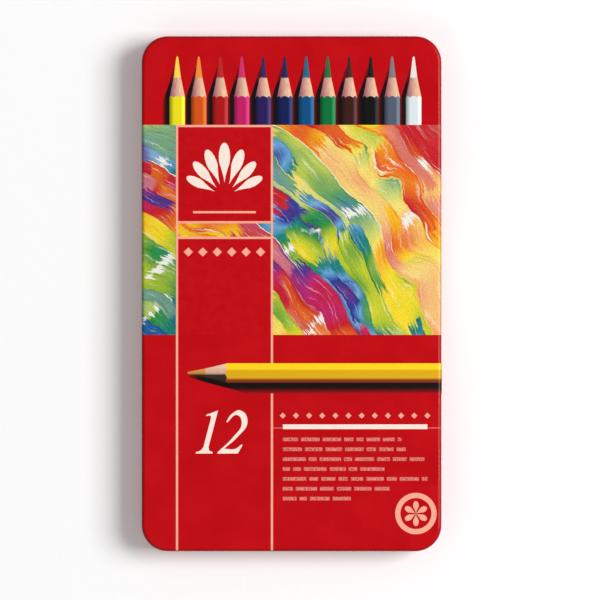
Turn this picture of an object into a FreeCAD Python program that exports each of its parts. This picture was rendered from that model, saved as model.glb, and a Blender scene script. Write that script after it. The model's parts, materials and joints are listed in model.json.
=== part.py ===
import FreeCAD, Part
import math
import os
import Sketcher

# A tin of twelve watercolour pencils: a hinged sheet-metal case, a tray with grooves, and the pencils.
# Frame: origin in the middle of the base's rest face, +Z up, +Y along the pencils towards their points,
# +X towards the edge that opens. The hinge runs along the -X side. Millimetres and degrees.

PENCIL_COLOURS = (
    "yellow", "orange", "red", "magenta", "violet", "dark_blue",
    "blue", "green", "brown", "black", "grey", "white",
)
PENCIL_COUNT = len(PENCIL_COLOURS)

# Driving sizes: name, value, meaning.
SIZES = (
    ("pencil_length", 175.0, "pencil from its rear end to its point"),
    ("pencil_flats", 7.0, "hexagon of a lacquered pencil across its flats"),
    ("pencil_gap", 0.35, "gap between the corners of two pencils in the tray"),
    ("lacquer_coat", 0.15, "lacquer on the pencil's flats"),
    ("dip_depth", 0.6, "lacquer over the pencil's rear end, also its bevel"),
    ("lead_diameter", 3.8, "lead"),
    ("glue_gap", 0.03, "glue round the lead"),
    ("point_half_angle", 12.0, "half angle of the sharpened cone"),
    ("point_radius", 0.3, "radius of the blunt end of the point"),
    ("end_play", 2.0, "room before and behind a pencil in its groove"),
    ("groove_seat_gap", 0.1, "pencil's lower flat above the groove's floor"),
    ("groove_clearance", 0.3, "room on each side of a pencil in its groove"),
    ("groove_rise", 2.8, "groove's floor above the tin's floor"),
    ("rib_height", 2.6, "ribs between the grooves, above the groove's floor"),
    ("tray_rim_height", 4.4, "tray's frame above the groove's floor"),
    ("tray_side_wall", 2.5, "tray's frame beside the grooves"),
    ("tray_end_wall", 3.1, "tray's frame at the ends of the grooves, at least"),
    ("tray_skin", 0.8, "tray's floor and lower walls"),
    ("tray_edge_radius", 0.45, "rounding of the tray's frame"),
    ("tray_corner_flat", 0.05, "flat between the roundings across the tray's corners, at least"),
    ("field_corner", 0.1, "corners of the field of grooves, beyond the rounding of the frame"),
    ("tray_clearance", 0.4, "tray inside the tin's mouth"),
    ("finger_well_length", 26.0, "gap in the ribs for finger tips"),
    ("headroom", 2.5, "lid's underside above the pencils"),
    ("sheet_thickness", 0.3, "tinplate"),
    ("corner_radius", 9.6, "tin's corners seen from above"),
    ("edge_radius", 1.4, "bend along the lid's top and the base's floor"),
    ("lid_clearance", 0.3, "lid's hem outside the base's rim"),
    ("lid_gap", 0.3, "lid's lower edge above the base's shoulder"),
    ("hem_depth", 1.6, "fold inside the lid's lower edge"),
    ("rim_fold_depth", 1.4, "fold inside the base's rim"),
    ("rim_headroom", 2.2, "lid's underside above the base's rim"),
    ("lid_depth", 5.7, "lid's top above its lower edge"),
    ("hinge_drop", 1.9, "hinge's axis below the lid's lower edge"),
    ("pin_diameter", 0.7, "hinge wire"),
    ("pin_clearance", 0.05, "room round the hinge wire"),
    ("knuckle_gap", 0.3, "room between hinge knuckles"),
    ("hinge_length", 20.0, "one hinge of three knuckles"),
    ("hinge_inset", 39.5, "middle of a hinge from the end of the tin"),
)

# Sizes that follow from the driving ones: name and formula.
WORKED_SIZES = (
    ("across_corners", "sizes.pencil_flats / cos(30)"),
    ("pencil_pitch", "across_corners + sizes.pencil_gap"),
    ("first_pencil_x", f"-pencil_pitch * ({PENCIL_COUNT} - 1) / 2"),
    ("field_width", f"{PENCIL_COUNT} * pencil_pitch"),
    ("field_length", "sizes.pencil_length + 2 * sizes.end_play"),
    ("tin_radius", "sizes.corner_radius"),
    ("belly_radius", "tin_radius - sizes.sheet_thickness"),
    ("hem_radius", "belly_radius - sizes.sheet_thickness"),
    ("rim_radius", "hem_radius - sizes.lid_clearance"),
    ("throat_radius", "rim_radius - sizes.sheet_thickness"),
    ("mouth_radius", "throat_radius - sizes.sheet_thickness"),
    ("tray_radius", "mouth_radius - sizes.tray_clearance"),
    ("hollow_radius", "tray_radius - sizes.tray_skin"),
    ("field_radius", "sizes.tray_edge_radius + sizes.field_corner"),
    ("corner_wall", "2 * sizes.tray_edge_radius + sizes.tray_corner_flat"),
    ("corner_reach", "tray_radius - corner_wall - field_radius"),
    ("side_reach", "tray_radius - sizes.tray_side_wall - field_radius"),
    ("end_reach", "sqrt(pow(corner_reach; 2) - pow(side_reach; 2))"),
    ("end_wall", "max(sizes.tray_end_wall; tray_radius - field_radius - end_reach)"),
    ("tray_width", "field_width + 2 * sizes.tray_side_wall"),
    ("tray_length", "field_length + 2 * end_wall"),
    ("mouth_width", "tray_width + 2 * sizes.tray_clearance"),
    ("mouth_length", "tray_length + 2 * sizes.tray_clearance"),
    ("throat_width", "mouth_width + 2 * sizes.sheet_thickness"),
    ("throat_length", "mouth_length + 2 * sizes.sheet_thickness"),
    ("rim_width", "throat_width + 2 * sizes.sheet_thickness"),
    ("rim_length", "throat_length + 2 * sizes.sheet_thickness"),
    ("hem_width", "rim_width + 2 * sizes.lid_clearance"),
    ("hem_length", "rim_length + 2 * sizes.lid_clearance"),
    ("belly_width", "hem_width + 2 * sizes.sheet_thickness"),
    ("belly_length", "hem_length + 2 * sizes.sheet_thickness"),
    ("tin_width", "belly_width + 2 * sizes.sheet_thickness"),
    ("tin_length", "belly_length + 2 * sizes.sheet_thickness"),
    ("hollow_width", "tray_width - 2 * sizes.tray_skin"),
    ("hollow_length", "tray_length - 2 * sizes.tray_skin"),
    ("inner_bend", "sizes.edge_radius - sizes.sheet_thickness"),
    ("fold_round", "sizes.sheet_thickness * 0.8"),
    ("groove_floor", "sizes.sheet_thickness + sizes.groove_rise"),
    ("rib_top", "groove_floor + sizes.rib_height"),
    ("tray_top", "groove_floor + sizes.tray_rim_height"),
    ("groove_half_floor", "across_corners / 4 + sizes.groove_clearance"),
    ("groove_half_mouth", "groove_half_floor + sizes.rib_height * tan(30)"),
    ("pencil_bottom", "groove_floor + sizes.groove_seat_gap"),
    ("pencil_axis_z", "pencil_bottom + sizes.pencil_flats / 2"),
    ("lid_underside", "pencil_bottom + sizes.pencil_flats + sizes.headroom"),
    ("tin_height", "lid_underside + sizes.sheet_thickness"),
    ("skirt_z", "tin_height - sizes.lid_depth"),
    ("shoulder_z", "skirt_z - sizes.lid_gap"),
    ("shoulder_underside", "shoulder_z - sizes.sheet_thickness"),
    ("hinge_z", "skirt_z - sizes.hinge_drop"),
    ("hem_top", "skirt_z + sizes.hem_depth"),
    ("rim_top", "lid_underside - sizes.rim_headroom"),
    ("rim_fold_z", "rim_top - sizes.rim_fold_depth"),
    ("pin_radius", "sizes.pin_diameter / 2"),
    ("bore_radius", "pin_radius + sizes.pin_clearance"),
    ("knuckle_radius", "bore_radius + sizes.sheet_thickness"),
    ("hinge_x", "-tin_width / 2 + sizes.sheet_thickness / 2 + knuckle_radius"),
    ("knuckle_length", "(sizes.hinge_length - 2 * sizes.knuckle_gap) / 3"),
    ("hinge_y", "tin_length / 2 - sizes.hinge_inset"),
    ("core_flats", "sizes.pencil_flats - 2 * sizes.lacquer_coat"),
    ("core_length", "sizes.pencil_length - sizes.dip_depth"),
    ("rear_radius", "across_corners / 2 - sizes.dip_depth"),
    ("point_base_radius", "sizes.point_radius + sizes.pencil_length * tan(sizes.point_half_angle)"),
)

HINGES = {"rear": "-worked.hinge_y", "front": "worked.hinge_y"}
OUTER_KNUCKLES = (0, 2)
MIDDLE_KNUCKLE = (1,)
Z_TO_Y = FreeCAD.Rotation(FreeCAD.Vector(1, 0, 0), -90)
Z_TO_MINUS_Y = FreeCAD.Rotation(FreeCAD.Vector(1, 0, 0), 90)
TOUCH = 1e-4

doc = FreeCAD.newDocument("pencil_tin")


def fill_sheets():
    """Write the driving sizes and the sizes worked out from them into two sheets."""
    sizes = doc.addObject("Spreadsheet::Sheet", "sizes")
    for row, (alias, number, meaning) in enumerate(SIZES, start=1):
        sizes.set(f"A{row}", meaning)
        sizes.set(f"B{row}", str(number))
        sizes.setAlias(f"B{row}", alias)
    doc.recompute()
    worked = doc.addObject("Spreadsheet::Sheet", "worked")
    for row, (alias, formula) in enumerate(WORKED_SIZES, start=1):
        worked.set(f"A{row}", alias.replace("_", " "))
        worked.setAlias(f"B{row}", alias)
        worked.set(f"B{row}", "=" + formula)
    doc.recompute()
    return worked


worked = fill_sheets()


def number(formula):
    """Value of a formula in the sheets, as a plain number."""
    result = worked.evalExpression(formula)
    return float(getattr(result, "Value", result))


def origin_feature(body, role):
    """Plane or axis of a body's own origin."""
    return next(item for item in body.Origin.OriginFeatures if item.Role == role)


def new_body(label):
    body = doc.addObject("PartDesign::Body", label)
    body.Label = label
    return body


def new_sketch(body, name, plane, offsets=None):
    """Sketch on one of the body's origin planes, shifted by formulas along the plane's own axes."""
    sketch = body.newObject("Sketcher::SketchObject", name)
    sketch.AttachmentSupport = [(origin_feature(body, plane), "")]
    sketch.MapMode = "FlatFace"
    for axis, formula in (offsets or {}).items():
        sketch.setExpression(f"AttachmentOffset.Base.{axis}", formula)
    return sketch


def constrain(sketch, name, constraint, formula):
    """Add a constraint and bind its size to a formula."""
    index = sketch.addConstraint(constraint)
    sketch.renameConstraint(index, name)
    sketch.setExpression(f"Constraints.{name}", formula)


def draw_lines(sketch, corners):
    """Closed outline of straight lines through the corners."""
    points = [FreeCAD.Vector(x, y, 0) for x, y in corners]
    for start, end in zip(points, points[1:] + points[:1]):
        sketch.addGeometry(Part.LineSegment(start, end), False)
    for line in range(len(points)):
        following = (line + 1) % len(points)
        sketch.addConstraint(Sketcher.Constraint("Coincident", line, 2, following, 1))


def draw_rectangle(sketch, width, length):
    """Rectangle about the sketch's origin."""
    half_x = number(width) / 2
    half_y = number(length) / 2
    draw_lines(sketch, [(-half_x, -half_y), (half_x, -half_y), (half_x, half_y), (-half_x, half_y)])
    for line, direction in enumerate(("Horizontal", "Vertical", "Horizontal", "Vertical")):
        sketch.addConstraint(Sketcher.Constraint(direction, line))
    sketch.addConstraint(Sketcher.Constraint("Symmetric", 0, 1, 2, 1, -1, 1))
    constrain(sketch, "half_x", Sketcher.Constraint("DistanceX", -1, 1, 2, 1, half_x), f"({width}) / 2")
    constrain(sketch, "half_y", Sketcher.Constraint("DistanceY", -1, 1, 2, 1, half_y), f"({length}) / 2")


def draw_trapezium(sketch, half_floor, half_mouth, low, high):
    """Groove section, symmetric about the sketch's upright axis."""
    floor_x, mouth_x, low_y, high_y = (number(size) for size in (half_floor, half_mouth, low, high))
    draw_lines(sketch, [(-floor_x, low_y), (floor_x, low_y), (mouth_x, high_y), (-mouth_x, high_y)])
    for line in (0, 2):
        sketch.addConstraint(Sketcher.Constraint("Symmetric", line, 1, line, 2, -2))
    constrain(sketch, "half_floor", Sketcher.Constraint("DistanceX", -1, 1, 0, 2, floor_x), half_floor)
    constrain(sketch, "half_mouth", Sketcher.Constraint("DistanceX", -1, 1, 2, 1, mouth_x), half_mouth)
    constrain(sketch, "low", Sketcher.Constraint("DistanceY", -1, 1, 0, 2, low_y), low)
    constrain(sketch, "high", Sketcher.Constraint("DistanceY", -1, 1, 2, 1, high_y), high)


def draw_outline(sketch, outline):
    """Rounded rectangle about the sketch's origin, from the sheet's outline_width, _length and _radius."""
    half_x = number(f"worked.{outline}_width / 2")
    half_y = number(f"worked.{outline}_length / 2")
    radius = number(f"worked.{outline}_radius")
    inner_x = half_x - radius
    inner_y = half_y - radius
    straights = (
        ((-inner_x, -half_y), (inner_x, -half_y)),
        ((half_x, -inner_y), (half_x, inner_y)),
        ((inner_x, half_y), (-inner_x, half_y)),
        ((-half_x, inner_y), (-half_x, -inner_y)),
    )
    centres = ((inner_x, -inner_y), (inner_x, inner_y), (-inner_x, inner_y), (-inner_x, -inner_y))
    upwards = FreeCAD.Vector(0, 0, 1)
    for side, (straight, centre) in enumerate(zip(straights, centres)):
        start, end = (FreeCAD.Vector(x, y, 0) for x, y in straight)
        sketch.addGeometry(Part.LineSegment(start, end), False)
        circle = Part.Circle(FreeCAD.Vector(*centre, 0), upwards, radius)
        first_angle = (side - 1) * math.pi / 2
        sketch.addGeometry(Part.ArcOfCircle(circle, first_angle, first_angle + math.pi / 2), False)
    for side in range(4):
        line = 2 * side
        arc = line + 1
        next_line = (line + 2) % 8
        sketch.addConstraint(Sketcher.Constraint("Tangent", line, 2, arc, 1))
        sketch.addConstraint(Sketcher.Constraint("Tangent", arc, 2, next_line, 1))
        direction = "Vertical" if side % 2 else "Horizontal"
        sketch.addConstraint(Sketcher.Constraint(direction, line))
    for arc in (3, 5, 7):
        sketch.addConstraint(Sketcher.Constraint("Equal", 1, arc))
    sketch.addConstraint(Sketcher.Constraint("Symmetric", 1, 3, 5, 3, -1, 1))
    right = Sketcher.Constraint("DistanceX", -1, 1, 2, 1, half_x)
    constrain(sketch, "half_x", right, f"worked.{outline}_width / 2")
    top = Sketcher.Constraint("DistanceY", -1, 1, 4, 1, half_y)
    constrain(sketch, "half_y", top, f"worked.{outline}_length / 2")
    constrain(sketch, "corner", Sketcher.Constraint("Radius", 1, radius), f"worked.{outline}_radius")


def extrude(body, kind, name, sketch, length, reverse=False, symmetric=False):
    """Pad or pocket a sketch and make sure that it changed the body by some volume."""
    before = body.Shape.Volume if body.Tip else 0.0
    feature = body.newObject(f"PartDesign::{kind}", name)
    feature.Profile = sketch
    feature.setExpression("Length", length)
    feature.Reversed = reverse
    if symmetric:
        feature.SideType = "Symmetric"
    doc.recompute()
    change = feature.Shape.Volume - before
    if (change > 0) != (kind == "Pad") or abs(change) < TOUCH:
        raise RuntimeError(f"{body.Label}: {name} changed the volume by {change}")
    return feature


def outline_extrude(body, kind, name, outline, level, length, reverse=False):
    """Pad up, or pocket down, a rounded outline that lies at a level."""
    sketch = new_sketch(body, f"{name}_sketch", "XY_Plane", {"z": level})
    draw_outline(sketch, outline)
    return extrude(body, kind, name, sketch, length, reverse)


def level_edges(feature, level, outline=None):
    """Names of the feature's edges that lie flat at a level, all or only those on an outline."""
    height = number(level)
    found = []
    for index, edge in enumerate(feature.Shape.Edges, start=1):
        box = edge.BoundBox
        if abs(box.ZMin - height) > TOUCH or abs(box.ZMax - height) > TOUCH:
            continue
        if outline:
            reach_x = max(abs(box.XMin), abs(box.XMax)) - number(f"worked.{outline}_width / 2")
            reach_y = max(abs(box.YMin), abs(box.YMax)) - number(f"worked.{outline}_length / 2")
            if abs(reach_x) > TOUCH and abs(reach_y) > TOUCH:
                continue
        found.append(f"Edge{index}")
    if not found:
        raise RuntimeError(f"{feature.Label} has no edges at {level}")
    return found


def round_edges(body, name, base, edges, radius):
    fillet = body.newObject("PartDesign::Fillet", name)
    fillet.Base = (base, edges)
    fillet.setExpression("Radius", radius)
    doc.recompute()
    if fillet.Shape.isNull():
        raise RuntimeError(f"{body.Label}: {name} failed, {fillet.getStatusString()}")
    return fillet


def part_object(kind, name, sizes, place=(), rotation=None):
    """Part primitive with its sizes, and its place along X, Y and Z, bound to formulas."""
    item = doc.addObject(f"Part::{kind}", name)
    if rotation:
        item.Placement = FreeCAD.Placement(FreeCAD.Vector(), rotation)
    for size, formula in sizes.items():
        item.setExpression(size, formula)
    for axis, formula in zip("xyz", place):
        item.setExpression(f"Placement.Base.{axis}", formula)
    return item


def combine(kind, name, base, tool):
    item = doc.addObject(f"Part::{kind}", name)
    item.Base = base
    item.Tool = tool
    return item


def fuse_all(name, shapes):
    item = doc.addObject("Part::MultiFuse", name)
    item.Shapes = shapes
    return item


def hinge_cylinder(name, start_y, length, radius):
    """Cylinder on the hinge's axis, from start_y along +Y."""
    place = ("worked.hinge_x", start_y, "worked.hinge_z")
    return part_object("Cylinder", name, {"Height": length, "Radius": radius}, place, Z_TO_Y)


def hinge_box(name, start_y, length, x_span, z_span):
    """Box beside the hinge's axis, from start_y along +Y."""
    sizes = {
        "Length": f"{x_span[1]} - ({x_span[0]})",
        "Width": length,
        "Height": f"{z_span[1]} - ({z_span[0]})",
    }
    return part_object("Box", name, sizes, (x_span[0], start_y, z_span[0]))


def knuckle_starts(places):
    """Hinge name, place in its row of three and start along Y of the knuckles at those places."""
    for hinge, middle in HINGES.items():
        for place in places:
            step = "(worked.knuckle_length + sizes.knuckle_gap)"
            yield f"{hinge}_{place}", f"{middle} - sizes.hinge_length / 2 + {place} * {step}"


def make_knuckles(label, places, root_x, root_z):
    """Knuckles curled round the hinge wire, each with the root that joins it to its sheet."""
    knuckles = []
    for place, start in knuckle_starts(places):
        length = "worked.knuckle_length"
        root = hinge_box(f"{label}_root_{place}", start, length, root_x, root_z)
        roll = hinge_cylinder(f"{label}_roll_{place}", start, length, "worked.knuckle_radius")
        bore = hinge_cylinder(f"{label}_bore_{place}", start, length, "worked.bore_radius")
        curl = combine("Fuse", f"{label}_curl_{place}", root, roll)
        knuckles.append(combine("Cut", f"{label}_knuckle_{place}", curl, bore))
    return fuse_all(f"{label}_knuckles", knuckles)


def make_hinge_windows():
    """Openings in the base's wall and shoulder that the lid's hinge tabs reach and swing through."""
    x_span = ("-worked.tin_width / 2 - sizes.sheet_thickness", "-worked.hem_width / 2")
    z_span = ("worked.hinge_z - sizes.hinge_drop", "worked.skirt_z")
    length = "worked.knuckle_length + 2 * sizes.knuckle_gap"
    windows = []
    for place, start in knuckle_starts(MIDDLE_KNUCKLE):
        window_start = f"{start} - sizes.knuckle_gap"
        windows.append(hinge_box(f"hinge_window_{place}", window_start, length, x_span, z_span))
    return fuse_all("hinge_windows", windows)


def join_knuckles(label, sheet, knuckles):
    item = combine("Fuse", label, sheet, knuckles)
    item.Label = label
    doc.recompute()
    return item


def make_base_tin():
    """Lower half: drawn pan with a shoulder, an inset rim with its edge folded in, and hinge knuckles."""
    body = new_body("base_pan")
    outline_extrude(body, "Pad", "pan", "tin", "0", "worked.shoulder_z")
    rim = outline_extrude(body, "Pad", "rim", "rim", "worked.shoulder_underside",
                          "worked.rim_top - worked.shoulder_underside")
    round_edges(body, "shoulder_bend", rim, level_edges(rim, "worked.shoulder_z", "tin"), "worked.fold_round")
    below_shoulder = "worked.shoulder_underside - sizes.sheet_thickness"
    mouth = outline_extrude(body, "Pocket", "mouth", "mouth", "worked.rim_top",
                            f"worked.rim_top - ({below_shoulder})")
    round_edges(body, "rim_fold", mouth, level_edges(mouth, "worked.rim_top"), "worked.fold_round")
    outline_extrude(body, "Pocket", "throat", "throat", "worked.rim_fold_z",
                    f"worked.rim_fold_z - ({below_shoulder})")
    belly = outline_extrude(body, "Pocket", "belly", "belly", "worked.shoulder_underside", below_shoulder)
    inner_bend = round_edges(body, "inner_floor_bend", belly, level_edges(belly, "sizes.sheet_thickness"),
                             "worked.inner_bend")
    round_edges(body, "floor_bend", inner_bend, level_edges(inner_bend, "0"), "sizes.edge_radius")
    windowed = combine("Cut", "windowed_pan", body, make_hinge_windows())
    root_x = ("worked.hinge_x - worked.knuckle_radius", "worked.hinge_x")
    root_z = ("worked.hinge_z - worked.knuckle_radius", "worked.hinge_z")
    return join_knuckles("base_tin", windowed, make_knuckles("base", OUTER_KNUCKLES, root_x, root_z))


def make_lid_tin():
    """Lid: drawn sheet with a skirt, its lower edge folded in, and two hinge tabs with knuckles."""
    body = new_body("lid_cap")
    outline_extrude(body, "Pad", "cap", "tin", "worked.skirt_z", "worked.tin_height - worked.skirt_z")
    opening = outline_extrude(body, "Pocket", "opening", "hem", "worked.hem_top + sizes.sheet_thickness",
                              "sizes.hem_depth + 2 * sizes.sheet_thickness")
    round_edges(body, "hem_fold", opening, level_edges(opening, "worked.skirt_z"), "worked.fold_round")
    inside = outline_extrude(body, "Pocket", "inside", "belly", "worked.lid_underside",
                             "worked.lid_underside - worked.hem_top")
    inner_bend = round_edges(body, "inner_top_bend", inside, level_edges(inside, "worked.lid_underside"),
                             "worked.inner_bend")
    round_edges(body, "top_bend", inner_bend, level_edges(inner_bend, "worked.tin_height"),
                "sizes.edge_radius")
    tab_x = ("-worked.tin_width / 2", "-worked.belly_width / 2")
    tab_z = ("worked.hinge_z", "worked.skirt_z + sizes.hem_depth / 2")
    return join_knuckles("lid_tin", body, make_knuckles("lid", MIDDLE_KNUCKLE, tab_x, tab_z))


def make_hinge_pin(hinge, middle):
    """Straight steel wire through one hinge's knuckles, with its ends broken."""
    label = f"{hinge}_hinge_pin"
    start = f"{middle} - sizes.hinge_length / 2"
    wire = hinge_cylinder(f"{hinge}_wire", start, "sizes.hinge_length", "worked.pin_radius")
    taper_length = "sizes.hinge_length + worked.pin_radius"
    blunt = "worked.pin_radius * 3 / 4"
    far_end = f"{middle} + sizes.hinge_length / 2"
    ends = []
    for name, turn, end in (("near", Z_TO_Y, start), ("far", Z_TO_MINUS_Y, far_end)):
        sizes = {"Radius1": blunt, "Radius2": f"{blunt} + {taper_length}", "Height": taper_length}
        place = ("worked.hinge_x", end, "worked.hinge_z")
        ends.append(part_object("Cone", f"{hinge}_{name}_break", sizes, place, turn))
    broken = combine("Common", f"{hinge}_wire_broken", wire, ends[0])
    item = combine("Common", label, broken, ends[1])
    item.Label = label
    doc.recompute()
    return item


def make_pencil_tray():
    """Moulded tray: a frame, half-hexagon grooves, a finger well across the ribs, hollow underneath."""
    body = new_body("pencil_tray")
    outline_extrude(body, "Pad", "block", "tray", "sizes.sheet_thickness",
                    "worked.tray_top - sizes.sheet_thickness")
    field = outline_extrude(body, "Pocket", "field", "field", "worked.tray_top",
                            "worked.tray_top - worked.rib_top")
    round_edges(body, "frame_edge", field, level_edges(field, "worked.tray_top"), "sizes.tray_edge_radius")
    groove_sketch = new_sketch(body, "groove_sketch", "XZ_Plane", {"x": "worked.first_pencil_x"})
    draw_trapezium(groove_sketch, "worked.groove_half_floor", "worked.groove_half_mouth",
                   "worked.groove_floor", "worked.rib_top")
    groove = extrude(body, "Pocket", "groove", groove_sketch, "worked.field_length", symmetric=True)
    row = body.newObject("PartDesign::LinearPattern", "groove_row")
    row.Originals = [groove]
    row.Direction = (origin_feature(body, "X_Axis"), [""])
    row.setExpression("Length", f"({PENCIL_COUNT} - 1) * worked.pencil_pitch")
    row.Occurrences = PENCIL_COUNT
    body.Tip = row
    doc.recompute()
    well_sketch = new_sketch(body, "finger_well_sketch", "XY_Plane", {"z": "worked.rib_top"})
    draw_rectangle(well_sketch, "worked.field_width", "sizes.finger_well_length")
    extrude(body, "Pocket", "finger_well", well_sketch, "sizes.rib_height")
    outline_extrude(body, "Pocket", "hollow", "hollow", "sizes.sheet_thickness",
                    "sizes.groove_rise - sizes.tray_skin", reverse=True)
    return body


def make_pencil_stock():
    """Shapes that every pencil is cut from, standing on Z with the rear end at zero and the point up."""
    above_dip = ("0", "0", "sizes.dip_depth")
    hexagon = part_object("Prism", "lacquer_hexagon", {
        "Circumradius": "worked.across_corners / 2",
        "Height": "sizes.pencil_length",
    })
    core = part_object("Prism", "cedar_hexagon", {
        "Circumradius": "worked.core_flats / 2 / cos(30)",
        "Height": "worked.core_length",
    }, above_dip)
    bevel = part_object("Cone", "rear_bevel", {
        "Radius1": "worked.rear_radius",
        "Radius2": "worked.rear_radius + sizes.pencil_length",
        "Height": "sizes.pencil_length",
    })
    point = part_object("Cone", "sharpening_cone", {
        "Radius1": "worked.point_base_radius",
        "Radius2": "sizes.point_radius",
        "Height": "sizes.pencil_length",
    })
    bore = part_object("Cylinder", "lead_bore", {
        "Radius": "sizes.lead_diameter / 2 + sizes.glue_gap",
        "Height": "worked.core_length",
    }, above_dip)
    rod = part_object("Cylinder", "lead_rod", {
        "Radius": "sizes.lead_diameter / 2",
        "Height": "worked.core_length",
    }, above_dip)
    for prism in (hexagon, core):
        prism.Polygon = 6
    bevelled = combine("Common", "bevelled_hexagon", hexagon, bevel)
    sharpened = combine("Common", "sharpened_hexagon", bevelled, point)
    cedar = combine("Common", "sharpened_cedar", core, point)
    doc.recompute()
    return {
        "lacquer": ("Cut", sharpened, core),
        "casing": ("Cut", cedar, bore),
        "lead": ("Common", rod, point),
    }


def make_pencils():
    """Casing, lacquer and lead of each pencil, laid in the tray's grooves with their points towards +Y."""
    stock = make_pencil_stock()
    pieces = []
    for place, colour in enumerate(PENCIL_COLOURS):
        for piece, (kind, base, tool) in stock.items():
            item = combine(kind, f"{colour}_pencil_{piece}", base, tool)
            item.Label = f"{colour}_pencil_{piece}"
            item.Placement = FreeCAD.Placement(FreeCAD.Vector(), Z_TO_Y)
            item.setExpression("Placement.Base.x", f"worked.first_pencil_x + {place} * worked.pencil_pitch")
            item.setExpression("Placement.Base.y", "-sizes.pencil_length / 2")
            item.setExpression("Placement.Base.z", "worked.pencil_axis_z")
            pieces.append(item)
    doc.recompute()
    return pieces


def write_parts(pieces):
    """Check the whole document, then write each piece to its own file."""
    for item in doc.Objects:
        if "Invalid" in item.State or "Error" in item.State:
            raise RuntimeError(f"{item.Label} failed: {item.State}")
    for piece in pieces:
        if piece.Shape.isNull() or not piece.Shape.isValid() or len(piece.Shape.Solids) != 1:
            raise RuntimeError(f"{piece.Label} is not one valid solid")
    os.makedirs("parts", exist_ok=True)
    for piece in pieces:
        piece.Shape.exportStep(f"parts/{piece.Label}.step")
        box = piece.Shape.optimalBoundingBox(False)
        size = " x ".join(f"{length:.2f}" for length in (box.XLength, box.YLength, box.ZLength))
        print(f"{piece.Label}: {size} mm, {piece.Shape.Volume:.1f} mm3")


def main():
    pins = [make_hinge_pin(hinge, middle) for hinge, middle in HINGES.items()]
    pieces = [make_base_tin(), make_lid_tin(), *pins, make_pencil_tray(), *make_pencils()]
    doc.recompute()
    write_parts(pieces)


main()
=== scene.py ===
import json
import math
import random

import bmesh
import bpy
from bpy.props import FloatProperty, FloatVectorProperty, PointerProperty
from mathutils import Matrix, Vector

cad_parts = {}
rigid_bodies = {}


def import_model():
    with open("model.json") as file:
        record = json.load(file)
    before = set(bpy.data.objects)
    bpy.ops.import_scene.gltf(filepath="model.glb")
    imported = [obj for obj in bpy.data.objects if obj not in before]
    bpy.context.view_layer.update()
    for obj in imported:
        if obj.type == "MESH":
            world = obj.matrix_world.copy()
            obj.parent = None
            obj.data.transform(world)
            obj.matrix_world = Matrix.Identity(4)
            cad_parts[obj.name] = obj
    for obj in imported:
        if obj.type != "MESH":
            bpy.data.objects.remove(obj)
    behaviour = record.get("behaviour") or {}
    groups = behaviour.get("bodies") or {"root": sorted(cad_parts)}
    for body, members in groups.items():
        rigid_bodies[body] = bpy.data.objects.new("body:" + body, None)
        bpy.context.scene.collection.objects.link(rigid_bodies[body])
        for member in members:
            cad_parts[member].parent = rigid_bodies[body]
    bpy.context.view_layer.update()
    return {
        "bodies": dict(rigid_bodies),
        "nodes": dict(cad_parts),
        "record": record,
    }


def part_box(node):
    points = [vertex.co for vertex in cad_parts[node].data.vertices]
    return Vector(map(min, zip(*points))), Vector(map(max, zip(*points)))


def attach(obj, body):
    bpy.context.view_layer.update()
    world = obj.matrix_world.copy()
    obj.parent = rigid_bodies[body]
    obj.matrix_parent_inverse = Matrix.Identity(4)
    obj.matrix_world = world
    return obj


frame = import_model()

bl_info = {
    "name": "Watercolour pencil tin",
    "version": (1, 0, 0),
    "blender": (4, 5, 0),
    "location": "View3D > Sidebar > Pencil tin",
    "description": "Prints the lid of a hinged pencil tin and finishes the tin, its tray and its pencils",
    "category": "Add Mesh",
}

MM = 0.001
NEAR = 1e-6
HALF_WIDTH, HALF_LENGTH, LID_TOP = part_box("lid_tin")[1]
SLOT_COLOURS = {finish["slot"]: finish["base_color"] for finish in frame["record"]["materials"]}
PENCILS = sorted(
    (body for body in frame["bodies"] if body.endswith("_pencil")),
    key=lambda body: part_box(f"{body}_lead")[0].x,
)
UP = Vector((0, 1, 0))
LEFT = Vector((-1, 0, 0))
RIGHT = Vector((1, 0, 0))

# Layers of print, from the lid's lacquer upwards.
GROUND, FIELD, RULE, COLUMN_RULE, LONG_SHADOW, LONG_PENCIL = range(1, 7)


def length(label, meaning, millimetres):
    """Property for a length, or for a place measured from the lid's middle."""
    return FloatProperty(
        name=label, description=meaning, default=millimetres * MM, unit="LENGTH", precision=5)


def ratio(label, meaning, default):
    """Property for a plain share or strength."""
    return FloatProperty(name=label, description=meaning, default=default, precision=3)


def angle(label, meaning, degrees):
    """Property for an angle."""
    return FloatProperty(
        name=label, description=meaning, default=math.radians(degrees), subtype="ANGLE")


def paint(label, meaning, red, green, blue):
    """Property for a colour as it looks on a screen, each channel up to 255."""
    default = (red / 255, green / 255, blue / 255)
    return FloatVectorProperty(
        name=label, description=meaning, default=default, size=3, min=0, max=1, subtype="COLOR_GAMMA")


def spot(label, meaning, *metres):
    """Property for a place in the room."""
    return FloatVectorProperty(
        name=label, description=meaning, default=metres, size=3, subtype="TRANSLATION", unit="LENGTH")


def power(label, meaning, watts):
    """Property for a lamp's power."""
    return FloatProperty(name=label, description=meaning, default=watts, unit="POWER")


class TinSizes(bpy.types.PropertyGroup):
    """Sizes of the tin that the print and the finishes follow."""
    edge_radius: length("Edge radius", "Bend along the lid's top and the base's floor", 1.4)
    corner_radius: length("Corner radius", "Corners of the tin seen from above", 9.6)
    sheet: length("Sheet", "Thickness of the tinplate", 0.3)
    skirt: length("Printed skirt", "How far the print runs down the lid's side", 5.0)
    ink: length("Ink", "Thickness of one layer of print", 0.03)
    # Height of the painted shade that darkens the print and lacquer over the lid's bend.
    painted_shade_zone: length("Bend zone", "Height below the lid's top in which the print deepens", 2.0)


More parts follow.
